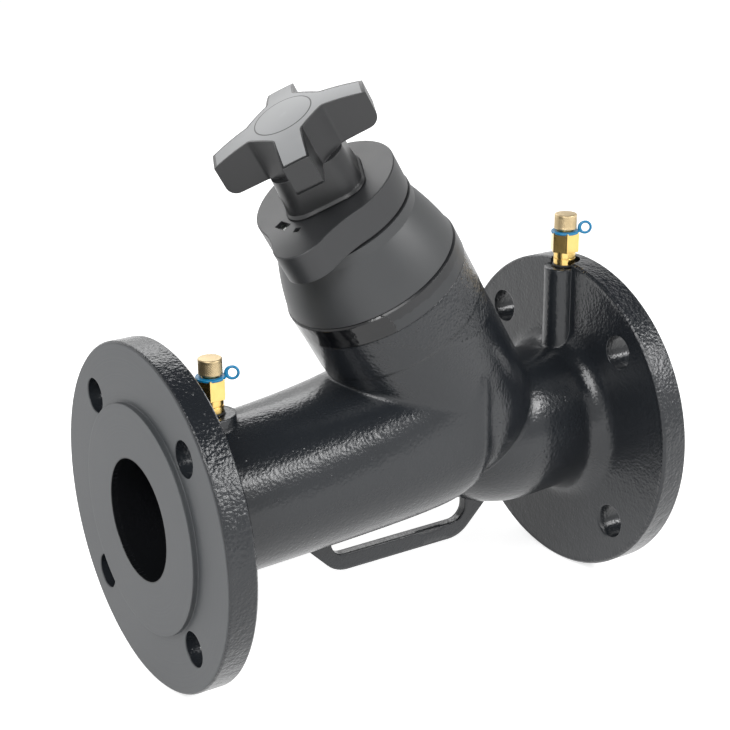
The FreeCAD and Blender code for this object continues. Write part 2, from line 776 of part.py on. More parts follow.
def rounded_square(half_width, corner, height):
    """A square wire with round corners, turned to the wheel's heading."""
    flat = half_width - corner
    slant = corner * math.sqrt(0.5)
    edges = []
    for k in range(4):
        turn = Rotation(Z, 90 * k + wheel_heading)
        ends = [Vector(half_width, -flat, height), Vector(half_width, flat, height)]
        mid = Vector(flat + slant, flat + slant, height)
        last = Vector(flat, half_width, height)
        edges.append(Part.makeLine(turn.multVec(ends[0]), turn.multVec(ends[1])))
        edges.append(Part.Arc(turn.multVec(ends[1]), turn.multVec(mid), turn.multVec(last)).toShape())
    return Part.Wire(Part.__sortEdges__(edges))


def arm_cross(root, tip, reach, bottom, top, fillet):
    """The wheel's four-armed plan with a square web between the arms, as an upright solid."""
    solid = None
    for k in range(4):
        plan = outline_face([(0, -root), (reach, -tip), (reach, tip), (0, root)], "xy")
        arm = plan.extrude(Vector(0, 0, top - bottom))
        arm.translate(Vector(0, 0, bottom))
        arm.rotate(Vector(0, 0, 0), Z, 90 * k)
        solid = arm if solid is None else solid.fuse(arm)
    web = web_half_width - (arm_root_half_width - root)
    square = block(-web, web, -web, web, bottom, top)
    square.rotate(Vector(0, 0, 0), Z, 45)
    solid = solid.fuse(square).removeSplitter()
    roots = [edge for edge in solid.Edges
             if abs(edge.Vertexes[0].Point.z - edge.Vertexes[-1].Point.z) > 1
             and math.hypot(edge.Vertexes[0].Point.x, edge.Vertexes[0].Point.y) < reach - 5]
    solid = solid.makeFillet(fillet, roots)
    solid.rotate(Vector(0, 0, 0), Z, wheel_heading)
    return solid


def crown(drop):
    """The shallow dome that the wheel's top follows, lowered by drop."""
    radius = (plate_reach ** 2 + wheel_tip_drop ** 2) / (2 * wheel_tip_drop)
    return Part.makeSphere(radius - drop, Vector(0, 0, wheel_top_height - radius))


def handwheel():
    """The moulded wheel: a hollow square column, four arms and the hub that drives the dials."""
    bottom = cap_top_height + wheel_gap
    lip = Part.makeLoft([rounded_square(column_half_width + column_lip, column_corner + column_lip, bottom),
                         rounded_square(column_half_width, column_corner, bottom + column_lip * 1.5)], True, True)
    column = Part.makeLoft([rounded_square(column_half_width, column_corner, bottom + column_lip * 1.5),
                            rounded_square(column_top_half_width, column_corner, arm_bottom_height)], True, True)
    arms = arm_cross(arm_root_half_width, arm_tip_half_width, arm_reach, arm_bottom_height, wheel_top_height,
                     arm_fillet)
    ends = [edge for edge in arms.Edges if is_arm_end(edge)]
    arms = arms.makeFillet(arm_corner, ends).common(crown(0.0))
    pocket = arm_cross(arm_root_half_width - plate_margin, arm_tip_half_width - plate_margin, plate_reach,
                       arm_bottom_height, wheel_top_height + 1, arm_fillet + plate_margin)
    arms = arms.cut(pocket.cut(crown(plate_thickness)))
    hollow = Part.makeLoft([rounded_square(column_half_width - wheel_wall, column_corner - wheel_wall, bottom - 1),
                            rounded_square(column_top_half_width - wheel_wall, column_corner - wheel_wall,
                                           arm_bottom_height)], True, True)
    column = lip.fuse(column).cut(hollow)
    hub = disc(hub_radius, hub_bottom_height, arm_bottom_height + 1)
    ribs = block(-column_top_half_width, column_top_half_width, -1, 1, bottom + 2, arm_bottom_height + 1)
    other = ribs.copy()
    ribs.rotate(Vector(0, 0, 0), Z, wheel_heading)
    other.rotate(Vector(0, 0, 0), Z, wheel_heading + 90)
    solid = column.fuse([hub, ribs, other, arms])
    socket = disc(spindle_drive_radius, hub_bottom_height, spindle_top_height)
    solid = solid.cut(socket.cut(Part.makeCompound(drive_flats())))
    washer_seat = spindle_top_height + 1
    solid = solid.cut(disc(wheel_screw_radius + 0.2, spindle_top_height - 1, washer_seat + 1))
    solid = solid.cut(disc(wheel_washer_radius + 0.3, washer_seat, wheel_top_height))
    return one(solid)


def is_arm_end(edge):
    """Whether an edge is the lower end of one of the wheel's arms."""
    low = all(abs(v.Point.z - arm_bottom_height) < 1e-6 for v in edge.Vertexes)
    far = all(math.hypot(v.Point.x, v.Point.y) > arm_reach - 1 for v in edge.Vertexes)
    return low and far


def handwheel_plate():
    """The thin domed cross plate let into the top of the wheel."""
    cross = arm_cross(arm_root_half_width - plate_margin, arm_tip_half_width - plate_margin, plate_reach,
                      arm_bottom_height, wheel_top_height + 1, arm_fillet + plate_margin)
    return one(cross.common(crown(0.0)).cut(crown(plate_thickness)))


def handwheel_washer():
    seat = spindle_top_height + 1
    return disc(wheel_washer_radius, seat, seat + wheel_washer_thickness, wheel_screw_radius + 0.2)


def handwheel_screw():
    """The cap screw that holds the wheel on the spindle."""
    head = spindle_top_height + 1 + wheel_washer_thickness
    solid = disc(wheel_screw_radius, spindle_top_height - wheel_screw_length + 1, head)
    solid = solid.fuse(disc(wheel_screw_head_radius, head, head + wheel_screw_head_height))
    return one(solid.cut(hexagon(wheel_screw_key, head + wheel_screw_head_height / 3,
                                 head + wheel_screw_head_height + 1)))


def point_levels(top):
    collar = top + point_oring_section
    hex_bottom = collar + point_collar_height
    hex_top = hex_bottom + point_hex_height
    return collar, hex_bottom, hex_top


def point_body(x, top):
    """The brass body of a test point: thread, grooved collar, hexagon and the spigot under its cap."""
    collar, hex_bottom, hex_top = point_levels(top)
    groove = collar + point_collar_height / 2
    solid = disc(point_thread_radius, top - point_thread_length + 1, top, x=x)
    solid = solid.fuse([disc(point_waist_radius, top - 1, collar + 1, x=x),
                        disc(point_collar_radius, collar, hex_bottom, x=x),
                        hexagon(point_hex_across, hex_bottom, hex_top, x=x),
                        disc(point_spigot_radius, hex_top, hex_top + point_spigot_height, x=x)])
    half = point_groove * 0.8
    solid = solid.cut(disc(point_collar_radius + 1, groove - half, groove + half, point_collar_radius - point_groove, x=x))
    solid = solid.cut(disc(point_probe_bore, top - point_thread_length, hex_top + point_spigot_height + 1, x=x))
    return one(solid.cut(disc(point_seal_bore, hex_bottom, hex_top + 1, x=x)))


def point_seal(x, top):
    """The self-closing rubber seal that a test needle goes through."""
    collar, hex_bottom, hex_top = point_levels(top)
    return disc(point_seal_bore, hex_bottom, hex_top - 1, x=x)


def point_oring(x, top):
    middle = point_waist_radius + (point_oring_section + running_gap) / 2
    return seal_ring(middle, point_oring_section - seal_spare, top + point_oring_section / 2, x=x)


def point_strap(x, top):
    """The strap: a flat ring on the spigot and a small upright loop beside it."""
    collar, hex_bottom, hex_top = point_levels(top)
    bottom = hex_top + 0.1
    ring = disc(strap_ring_radius, bottom, bottom + strap_thickness, point_spigot_radius + running_gap)
    loop_x = strap_ring_radius + strap_loop_radius - 0.8
    loop_z = bottom + strap_loop_radius * 0.75
    loop = Part.makeCylinder(strap_loop_radius, strap_loop_width, Vector(loop_x, -strap_loop_width / 2, loop_z), Y)
    hole = Part.makeCylinder(strap_loop_radius - strap_loop_wall, strap_loop_width + 2,
                             Vector(loop_x, -strap_loop_width / 2 - 1, loop_z), Y)
    solid = ring.fuse(loop.cut(hole)).cut(disc(point_spigot_radius + running_gap, bottom - 1, bottom + 20))
    solid = solid.cut(disc(cap_radius + 0.3, bottom + strap_thickness, bottom + 20))
    solid.rotate(Vector(0, 0, 0), Z, strap_heading)
    solid.translate(Vector(x, 0, 0))
    return one(solid)


def point_cap(x, top):
    """The knurled brass cap screwed over the spigot."""
    collar, hex_bottom, hex_top = point_levels(top)
    bottom = hex_top + 0.1 + strap_thickness + 0.1
    solid = disc(cap_radius, bottom, bottom + cap_height, x=x)
    top = bottom + cap_height
    rim = [edge for edge in solid.Edges if edge.Closed and abs(edge.Vertexes[0].Point.z - top) < 1e-6]
    solid = solid.makeChamfer(cap_bevel, rim)
    for k in range(cap_flutes):
        angle = math.radians(360 / cap_flutes * k)
        flute = disc(cap_flute_depth * 1.5, bottom + 0.8, bottom + cap_height - 0.9,
                     x=x + (cap_radius + cap_flute_depth * 0.5) * math.cos(angle),
                     y=(cap_radius + cap_flute_depth * 0.5) * math.sin(angle))
        solid = solid.cut(flute)
    return one(solid.cut(disc(point_spigot_radius + running_gap, bottom - 1, bottom + cap_height - cap_wall, x=x)))


def build():
    os.makedirs("parts", exist_ok=True)
    save("valve_body", valve_body())
    on_stem_pieces = {
        "seat_ring": seat_ring, "plug": plug, "plug_seal": plug_seal, "throttle_cone": throttle_cone,
        "plug_screw": plug_screw, "spindle": spindle, "thrust_washer": thrust_washer, "bonnet": bonnet,
        "bonnet_seal": bonnet_seal, "gland": gland, "spindle_seals": spindle_seals, "housing_cone": housing_cone,
        "housing_screws": housing_screws, "housing_cap": housing_cap, "window_lens": window_lens,
        "units_dial": units_dial, "tenths_dial": tenths_dial, "handwheel": handwheel,
        "handwheel_plate": handwheel_plate, "handwheel_washer": handwheel_washer, "handwheel_screw": handwheel_screw}
    for name, make in on_stem_pieces.items():
        save(name, on_stem(make()))
    points = {"outlet": (outlet_point_x, outlet_boss_top), "inlet": (inlet_point_x, inlet_boss_top)}
    for side, (x, top) in points.items():
        save(side + "_test_point", point_body(x, top))
        save(side + "_point_seal", point_seal(x, top))
        save(side + "_point_oring", point_oring(x, top))
        save(side + "_cap_strap", point_strap(x, top))
        save(side + "_cap", point_cap(x, top))


build()
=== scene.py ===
"""The looks of a flanged circuit balancing valve of nominal size 65, in metres.

Black painted iron, a grey plastic indicator housing, a four-armed wheel with a light plate, and a brass test
point with a blue strap beside each flange. The stem leans by 30 degrees over the outlet.
"""
import math

import bmesh
import bpy
from mathutils import Matrix, Vector


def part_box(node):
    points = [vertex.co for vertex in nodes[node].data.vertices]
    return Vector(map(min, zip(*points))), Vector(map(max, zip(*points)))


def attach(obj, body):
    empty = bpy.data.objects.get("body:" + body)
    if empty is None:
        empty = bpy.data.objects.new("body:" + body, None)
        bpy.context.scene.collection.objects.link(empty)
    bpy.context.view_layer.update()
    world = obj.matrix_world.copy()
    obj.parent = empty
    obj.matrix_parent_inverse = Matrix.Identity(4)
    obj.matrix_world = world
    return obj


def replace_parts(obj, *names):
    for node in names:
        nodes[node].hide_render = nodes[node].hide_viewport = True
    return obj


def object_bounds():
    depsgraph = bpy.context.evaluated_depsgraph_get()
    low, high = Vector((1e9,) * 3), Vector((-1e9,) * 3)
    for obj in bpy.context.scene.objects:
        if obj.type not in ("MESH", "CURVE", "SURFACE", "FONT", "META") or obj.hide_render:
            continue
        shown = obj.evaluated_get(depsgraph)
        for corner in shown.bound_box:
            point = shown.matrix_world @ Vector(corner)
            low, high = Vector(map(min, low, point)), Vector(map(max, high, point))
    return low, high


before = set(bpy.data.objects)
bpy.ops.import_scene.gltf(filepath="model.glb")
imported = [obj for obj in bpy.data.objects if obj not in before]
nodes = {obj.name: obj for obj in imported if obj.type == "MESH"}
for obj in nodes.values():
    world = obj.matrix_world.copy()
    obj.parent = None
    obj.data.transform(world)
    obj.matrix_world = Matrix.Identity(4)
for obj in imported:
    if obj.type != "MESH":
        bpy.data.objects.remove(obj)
cad_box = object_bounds()

MM = 0.001

# The stem: where it crosses the pipe, and its lean from the vertical
stem_cross = Vector((0.205, 0.0, 0.0))
stem_lean = math.radians(30.0)

# The photograph's camera, with its frame's centre and roll
photo_width = 730
camera_azimuth = math.radians(-30.5525)
camera_elevation = math.radians(20.8852)
camera_roll = math.radians(-1.3218)
camera_place = Vector((-0.30991, -0.70146, 0.35863))
focal_pixels = 1647.1
sensor_width = 36.0
centre_pixel_x = 310.89
centre_pixel_y = 391.63

# The casting's zones. Where a zone fades in or out it has two distances, from no share to full share.
# Reaches are from the pipe's axis, depths from a flange's raised face, the collar's from the stem's axis.
flange_middle_x = (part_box("valve_body")[0].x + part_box("valve_body")[1].x) / 2
turned_depth = (3.6 * MM, 3.2 * MM)
face_start = (32.4 * MM, 32.7 * MM)
rim_start = (89.0 * MM, 92.0 * MM)
# Where the bore gets its painted shade: inside the bore's reach, and near each flange's mouth, counted from
# the flanges' middle
bore_shade_start = (33.2 * MM, 32.9 * MM)
bore_shade_end = (95.0 * MM, 105.0 * MM)
flange_depth = (22.0 * MM, 24.0 * MM)
collar_reach = 48.5 * MM
collar_width = (9.0 * MM, 5.0 * MM)
collar_end = (86.0 * MM, 78.0 * MM)
flange_rounding = 0.9 * MM
casting_rounding = 2.4 * MM
collar_rounding = 4.5 * MM

# The uneven paint on the bonnet's ring, and the plate's printed ring
gloss_ragged = 34.0 * MM
gloss_end = (21.0 * MM, 22.5 * MM)
paint_line_ragged = 3.0 * MM
paint_line = (122.0 * MM, 122.6 * MM)
plate_ring_radius = 15.6 * MM

# The knurled caps and their straps
cap_radius = 6.35 * MM
cap_bore_radius = 4.6 * MM
cap_roof = 1.9 * MM
cap_rounding = 0.7 * MM
cap_rounding_steps = 4
cap_foot_bevel = 0.35 * MM
knurl_start = 0.8 * MM
knurl_stop = 1.1 * MM
knurl_count = 30
knurl_rows = 5
knurl_depth = 0.32 * MM
knurl_steps = 6
knurl_fade = 8.0
strap_ring_radius = 7.95 * MM
strap_bore_radius = 4.75 * MM
strap_thickness = 1.4 * MM
strap_edge = 0.45 * MM
strap_columns = 72
strap_loop_radius = 3.15 * MM
strap_loop_wire = 0.75 * MM
strap_loop_width = 0.8 * MM
strap_loop_swell = 0.45
strap_loop_steps = 40
strap_loop_sides = 12
strap_loop_away = 11.1 * MM
strap_loop_rise = 2.9 * MM
strap_heading = math.radians(-31.0)

# The studio: sheet sizes, and for each lamp its place, width, height and power
floor_size = 3.0
floor_gap = 0.0002
ceiling_size = 1.9
ceiling_place = (0.145, -0.35, 1.75)
floor_glow = 0.72
world_light = 0.35
lamp_target = Vector((0.14, 0.0, 0.03))
lamps = {"high_left_softbox": ((-0.9, -0.75, 1.15), 0.9, 0.9, 20.0),
         "front_softbox": ((0.95, -1.12, 0.98), 0.9, 0.42, 15.0),
         "back_softbox": ((0.4, 1.5, 1.1), 1.6, 0.7, 10.0)}


def put(tree, kind, values=None, links=None, **settings):
    """Adds a shader node, sets its plain sockets and joins the outputs that feed it."""
    made = tree.nodes.new(kind)
    for key, value in settings.items():
        setattr(made, key, value)
    for key, value in (values or {}).items():
        made.inputs[key].default_value = value
    for key, output in (links or {}).items():
        tree.links.new(output, made.inputs[key])
    return made


def maths(tree, operation, *terms):
    """One math node. A term is a number or another node's output."""
    made = tree.nodes.new("ShaderNodeMath")
    made.operation = operation
    for k, term in enumerate(terms):
        if isinstance(term, (int, float)):
            made.inputs[k].default_value = term
        else:
            tree.links.new(term, made.inputs[k])
    return made.outputs[0]


def reach_from_axis(tree, split, first, second):
    """The distance from an axis, out of two of the split coordinates."""
    squares = [maths(tree, "POWER", split.outputs[key], 2.0) for key in (first, second)]
    return maths(tree, "SQRT", maths(tree, "ADD", *squares))


def new_group(name, inputs, outputs):
    """An empty shader group, from (name, socket kind, default) inputs and (name, socket kind) outputs."""
    tree = bpy.data.node_groups.new(name, "ShaderNodeTree")
    for label, kind, default in inputs:
        socket = tree.interface.new_socket(label, in_out="INPUT", socket_type=kind)
        if default is not None:
            socket.default_value = default
    for label, kind in outputs:
        tree.interface.new_socket(label, in_out="OUTPUT", socket_type=kind)
    start = tree.nodes.new("NodeGroupInput")
    end = tree.nodes.new("NodeGroupOutput")
    return tree, start.outputs, end.inputs


def use_group(tree, group, values=None, links=None):
    """Adds a group to a material and gives its outputs."""
    made = tree.nodes.new("ShaderNodeGroup")
    made.node_tree = group
    for key, value in (values or {}).items():
        made.inputs[key].default_value = value
    for key, output in (links or {}).items():
        tree.links.new(output, made.inputs[key])
    return made.outputs


FLOAT = "NodeSocketFloat"
COLOUR = "NodeSocketColor"
VECTOR = "NodeSocketVector"


def cast_skin_group():
    """The orange-peel skin of paint over a sand casting, with broad swells and a few small pits."""
    inputs = [("Vector", VECTOR, None), ("Grain Size", FLOAT, 2.2 * MM), ("Swell Share", FLOAT, 0.5),
              ("Pit Share", FLOAT, 0.3)]
    tree, start, end = new_group("cast_skin", inputs, [("Height", FLOAT)])
    per_metre = maths(tree, "DIVIDE", 1.0, start["Grain Size"])
    peel = put(tree, "ShaderNodeTexVoronoi", {"Smoothness": 0.8, "Randomness": 1.0},
               {"Vector": start["Vector"], "Scale": per_metre}, feature="SMOOTH_F1")
    fine = put(tree, "ShaderNodeTexNoise", {"Detail": 3.0, "Roughness": 0.6},
               {"Vector": start["Vector"], "Scale": maths(tree, "MULTIPLY", per_metre, 1.6)})
    swell = put(tree, "ShaderNodeTexNoise", {"Detail": 1.0},
                {"Vector": start["Vector"], "Scale": maths(tree, "MULTIPLY", per_metre, 0.22)})
    pit = put(tree, "ShaderNodeTexVoronoi", {"Randomness": 1.0},
              {"Vector": start["Vector"], "Scale": maths(tree, "MULTIPLY", per_metre, 0.35)})
    pit_edge = put(tree, "ShaderNodeMapRange",
                   {"From Min": 0.05, "From Max": 0.13, "To Min": 1.0, "To Max": 0.0},
                   {"Value": pit.outputs["Distance"]})
    height = maths(tree, "MULTIPLY_ADD", peel.outputs["Distance"], -0.7, 1.0)
    height = maths(tree, "MULTIPLY_ADD", fine.outputs["Fac"], 0.5, height)
    height = maths(tree, "ADD", height, maths(tree, "MULTIPLY", swell.outputs["Fac"], start["Swell Share"]))
    pits = maths(tree, "MULTIPLY", pit_edge.outputs["Result"], start["Pit Share"])
    tree.links.new(maths(tree, "SUBTRACT", height, pits), end["Height"])
    return tree


def plastic_grain_group():
    """The fine even texture of moulded plastic."""
    inputs = [("Vector", VECTOR, None), ("Grain Size", FLOAT, 0.35 * MM)]
    tree, start, end = new_group("plastic_grain", inputs, [("Height", FLOAT), ("Patches", FLOAT)])
    per_metre = maths(tree, "DIVIDE", 1.0, start["Grain Size"])
    grain = put(tree, "ShaderNodeTexNoise", {"Detail": 2.0, "Roughness": 0.5},
                {"Vector": start["Vector"], "Scale": per_metre})
    patch = put(tree, "ShaderNodeTexNoise", {"Detail": 3.0},
                {"Vector": start["Vector"], "Scale": maths(tree, "MULTIPLY", per_metre, 0.02)})
    tree.links.new(grain.outputs["Fac"], end["Height"])
    tree.links.new(patch.outputs["Fac"], end["Patches"])
    return tree


def lathe_group():
    """The fine rings that a cutting tool leaves round the local z axis."""
    inputs = [("Vector", VECTOR, None), ("Pitch", FLOAT, 0.25 * MM)]
    tree, start, end = new_group("lathe_marks", inputs, [("Height", FLOAT), ("Streaks", FLOAT)])
    split = put(tree, "ShaderNodeSeparateXYZ", None, {"Vector": start["Vector"]})
    along = maths(tree, "ADD", reach_from_axis(tree, split, "X", "Y"), split.outputs["Z"])
    turns = maths(tree, "DIVIDE", along, start["Pitch"])
    ring = put(tree, "ShaderNodeCombineXYZ", {"Y": 0.0, "Z": 0.0}, {"X": turns})
    streak = put(tree, "ShaderNodeTexNoise", {"Scale": 0.7, "Detail": 3.0},
                 {"Vector": ring.outputs["Vector"]})
    tree.links.new(maths(tree, "SINE", maths(tree, "MULTIPLY", turns, 2 * math.pi)), end["Height"])
    tree.links.new(streak.outputs["Fac"], end["Streaks"])
    return tree


def edge_rub_group():
    """Where an edge is rubbed: the rounded normal against the true one, broken up by a noise."""
    inputs = [("Vector", VECTOR, None), ("Rounded", VECTOR, None), ("Width", FLOAT, 0.2)]
    tree, start, end = new_group("edge_rub", inputs, [("Mask", FLOAT)])
    true_normal = tree.nodes.new("ShaderNodeNewGeometry").outputs["Normal"]
    facing = put(tree, "ShaderNodeVectorMath", None, None, operation="DOT_PRODUCT")
    tree.links.new(start["Rounded"], facing.inputs[0])
    tree.links.new(true_normal, facing.inputs[1])
    away = maths(tree, "SUBTRACT", 1.0, facing.outputs["Value"])
    breaks = put(tree, "ShaderNodeTexNoise", {"Scale": 260.0, "Detail": 3.0}, {"Vector": start["Vector"]})
    lowest = maths(tree, "MULTIPLY", start["Width"], breaks.outputs["Fac"])
    mask = put(tree, "ShaderNodeMapRange", {"To Min": 0.0, "To Max": 1.0},
               {"Value": away, "From Min": lowest, "From Max": start["Width"]})
    tree.links.new(mask.outputs["Result"], end["Mask"])
    return tree


def blend_colour(tree, share, first, second):
    """A colour between two, by a share that changes over the surface."""
    made = tree.nodes.new("ShaderNodeMix")
    made.data_type = "RGBA"
    for k, colour in ((6, first), (7, second)):
        if isinstance(colour, tuple):
            made.inputs[k].default_value = (*colour, 1.0)
        else:
            tree.links.new(colour, made.inputs[k])
    tree.links.new(share, made.inputs[0])
    return made.outputs[2]


def blend_value(tree, share, low, high):
    """A value between two, by a share that changes over the surface."""
    made = put(tree, "ShaderNodeMapRange", {"From Min": 0.0, "From Max": 1.0}, {"Value": share})
    for key, term in (("To Min", low), ("To Max", high)):
        if isinstance(term, (int, float)):
            made.inputs[key].default_value = term
        else:
            tree.links.new(term, made.inputs[key])
    return made.outputs["Result"]


def new_material(name):
    """A material with its shader, and the piece's own coordinates."""
    made = bpy.data.materials.new(name)
    made.use_nodes = True
    tree = made.node_tree
    tree.nodes.clear()
    shader = tree.nodes.new("ShaderNodeBsdfPrincipled")
    out = tree.nodes.new("ShaderNodeOutputMaterial")
    tree.links.new(shader.outputs["BSDF"], out.inputs["Surface"])
    place = tree.nodes.new("ShaderNodeTexCoord").outputs["Object"]
    return made, tree, shader.inputs, place


def centred(tree, place, location, rotation=(0.0, 0.0, 0.0)):
    """Coordinates counted from a place on the piece and turned with it."""
    made = put(tree, "ShaderNodeMapping", None, {"Vector": place}, vector_type="TEXTURE")
    made.inputs["Location"].default_value = location
    made.inputs["Rotation"].default_value = rotation
    return made.outputs["Vector"]


def on_stem_axis(tree, place):
    """Coordinates whose z axis is the stem's."""
    return centred(tree, place, tuple(stem_cross), (0.0, -stem_lean, 0.0))


cast_skin = cast_skin_group()
plastic_grain = plastic_grain_group()
lathe_marks = lathe_group()
edge_rub = edge_rub_group()


def rounded_normal(tree, radius, samples=4):
    """A normal that softens sharp edges by a radius, which may change over the surface."""
    made = put(tree, "ShaderNodeBevel", None, None, samples=samples)
    if isinstance(radius, (int, float)):
        made.inputs["Radius"].default_value = radius
    else:
        tree.links.new(radius, made.inputs["Radius"])
    return made.outputs["Normal"]


def step_between(tree, value, low, high):
    """0 below low and 1 above high, or the other way round where low is the larger."""
    smaller, larger = min(low, high), max(low, high)
    ends = {"To Min": 0.0, "To Max": 1.0} if low < high else {"To Min": 1.0, "To Max": 0.0}
    made = put(tree, "ShaderNodeMapRange", {"From Min": smaller, "From Max": larger, **ends},
               {"Value": value}, interpolation_type="SMOOTHSTEP")
    return made.outputs["Result"]


def bump(tree, height, depth, normal):
    """A normal that a height texture tilts, by a depth in metres."""
    made = put(tree, "ShaderNodeBump", {"Strength": 1.0, "Distance": depth},
               {"Height": height, "Normal": normal})
    return made.outputs["Normal"]


def body_paint():
    """Gloss black paint over the casting, smooth and satin on the turned faces of both flanges, with painted
    shade darkening the bore near each mouth.
    """
    made, tree, shader, place = new_material("black_paint_on_casting")
    skin = use_group(tree, cast_skin, {"Grain Size": 1.7 * MM, "Swell Share": 1.2, "Pit Share": 0.5},
                     {"Vector": place})
    split = put(tree, "ShaderNodeSeparateXYZ", None, {"Vector": place})
    from_middle = maths(tree, "ABSOLUTE", maths(tree, "SUBTRACT", split.outputs["X"], flange_middle_x))
    pipe_reach = reach_from_axis(tree, split, "Y", "Z")
    stem_split = put(tree, "ShaderNodeSeparateXYZ", None, {"Vector": on_stem_axis(tree, place)})
    stem_reach = reach_from_axis(tree, stem_split, "X", "Y")
    off_collar = maths(tree, "ABSOLUTE", maths(tree, "SUBTRACT", stem_reach, collar_reach))
    turned = step_between(tree, from_middle, *(flange_middle_x - depth for depth in turned_depth))
    face = maths(tree, "MULTIPLY", turned, step_between(tree, pipe_reach, *face_start))
    off_face = maths(tree, "SUBTRACT", 1.0, face)
    rim = maths(tree, "MULTIPLY", step_between(tree, pipe_reach, *rim_start), off_face)
    # Painted shade: the bore near each flange's mouth is given a darker colour
    painted_bore_shade = maths(tree, "MULTIPLY", step_between(tree, pipe_reach, *bore_shade_start),
                        step_between(tree, from_middle, *bore_shade_end))
    collar = maths(tree, "MULTIPLY", step_between(tree, off_collar, *collar_width),
                   step_between(tree, stem_split.outputs["Z"], *collar_end))
    middle = step_between(tree, from_middle, *(flange_middle_x - depth for depth in flange_depth))
    marks = use_group(tree, lathe_marks, {"Pitch": 0.6 * MM},
                      {"Vector": centred(tree, place, (0.0, 0.0, 0.0), (0.0, math.pi / 2, 0.0))})
    drift = put(tree, "ShaderNodeTexNoise", {"Scale": 18.0, "Detail": 4.0}, {"Vector": place})
    radius = blend_value(tree, middle, flange_rounding, casting_rounding)
    radius = maths(tree, "MULTIPLY_ADD", collar, collar_rounding, radius)
    rounded = rounded_normal(tree, radius, samples=8)
    rub = use_group(tree, edge_rub, {"Width": 0.25}, {"Vector": place, "Rounded": rounded})
    paint = blend_colour(tree, drift.outputs["Fac"], (0.0105, 0.0125, 0.0155), (0.018, 0.0205, 0.024))
    satin = blend_colour(tree, drift.outputs["Fac"], (0.046, 0.050, 0.054), (0.060, 0.064, 0.068))
    colour = blend_colour(tree, face, paint, satin)
    wear = maths(tree, "MULTIPLY", rub["Mask"], maths(tree, "MULTIPLY_ADD", middle, -0.3, 0.35))
    colour = blend_colour(tree, wear, colour, (0.06, 0.062, 0.066))
    # Painted shade inside the bore: a darker black where shade falls in the pipe
    colour = blend_colour(tree, painted_bore_shade, colour, (0.006, 0.0065, 0.0075))
    tree.links.new(colour, shader["Base Color"])
    gloss = blend_value(tree, drift.outputs["Fac"], 0.15, 0.25)
    dull = blend_value(tree, marks["Streaks"], 0.42, 0.56)
    tree.links.new(blend_value(tree, face, gloss, dull), shader["Roughness"])
    rough_share = maths(tree, "MULTIPLY_ADD", rim, 1.4, 1.0)
    rough_height = maths(tree, "MULTIPLY", skin["Height"], maths(tree, "MULTIPLY", rough_share, off_face))
    fine_height = maths(tree, "MULTIPLY", marks["Height"], maths(tree, "MULTIPLY", face, 0.03))
    height = maths(tree, "ADD", rough_height, fine_height)
    tree.links.new(bump(tree, height, 0.16 * MM, rounded), shader["Normal"])
    return made


def ring_paint():
    """The bonnet's ring: thick uneven paint, deep gloss on one side and thinner on the other."""
    made, tree, shader, place = new_material("thick_black_paint")
    skin = use_group(tree, cast_skin, {"Grain Size": 5.0 * MM, "Swell Share": 2.0, "Pit Share": 0.1},
                     {"Vector": place})
    drift = put(tree, "ShaderNodeTexNoise", {"Scale": 60.0, "Detail": 5.0, "Roughness": 0.65},
                {"Vector": place})
    split = put(tree, "ShaderNodeSeparateXYZ", None, {"Vector": on_stem_axis(tree, place)})
    across = maths(tree, "ADD", maths(tree, "MULTIPLY", split.outputs["X"], 0.85),
                   maths(tree, "MULTIPLY", split.outputs["Y"], -0.5))
    across = maths(tree, "MULTIPLY_ADD", drift.outputs["Fac"], gloss_ragged, across)
    thin = step_between(tree, across, *gloss_end)
    runs = put(tree, "ShaderNodeTexNoise", {"Scale": 320.0, "Detail": 3.0}, {"Vector": place})
    top_edge = maths(tree, "MULTIPLY_ADD", runs.outputs["Fac"], paint_line_ragged, split.outputs["Z"])
    line = step_between(tree, top_edge, *paint_line)
    colour = blend_colour(tree, thin, (0.003, 0.0035, 0.0045), (0.022, 0.024, 0.0265))
    tree.links.new(blend_colour(tree, maths(tree, "MULTIPLY", line, 0.7), colour, (0.004, 0.004, 0.005)),
                   shader["Base Color"])
    tree.links.new(blend_value(tree, thin, 0.08, 0.36), shader["Roughness"])
    depth = maths(tree, "MULTIPLY", skin["Height"], blend_value(tree, thin, 1.0, 0.35))
    tree.links.new(bump(tree, depth, 0.25 * MM, rounded_normal(tree, 0.7 * MM)), shader["Normal"])
    return made


def moulded(name, dark, light, roughness, grain=0.35 * MM, depth=0.02 * MM, edge=0.5 * MM):
    """Moulded plastic or rubber with a fine grain and slightly paler edges."""
    made, tree, shader, place = new_material(name)
    texture = use_group(tree, plastic_grain, {"Grain Size": grain}, {"Vector": place})
    rounded = rounded_normal(tree, edge)
    rub = use_group(tree, edge_rub, {"Width": 0.3}, {"Vector": place, "Rounded": rounded})
    colour = blend_colour(tree, texture["Patches"], dark, light)
    tree.links.new(blend_colour(tree, maths(tree, "MULTIPLY", rub["Mask"], 0.25), colour,
                                tuple(min(1.0, c * 1.8) for c in light)), shader["Base Color"])
    tree.links.new(blend_value(tree, texture["Patches"], roughness - 0.05, roughness + 0.05),
                   shader["Roughness"])
    tree.links.new(bump(tree, texture["Height"], depth, rounded), shader["Normal"])
    return made


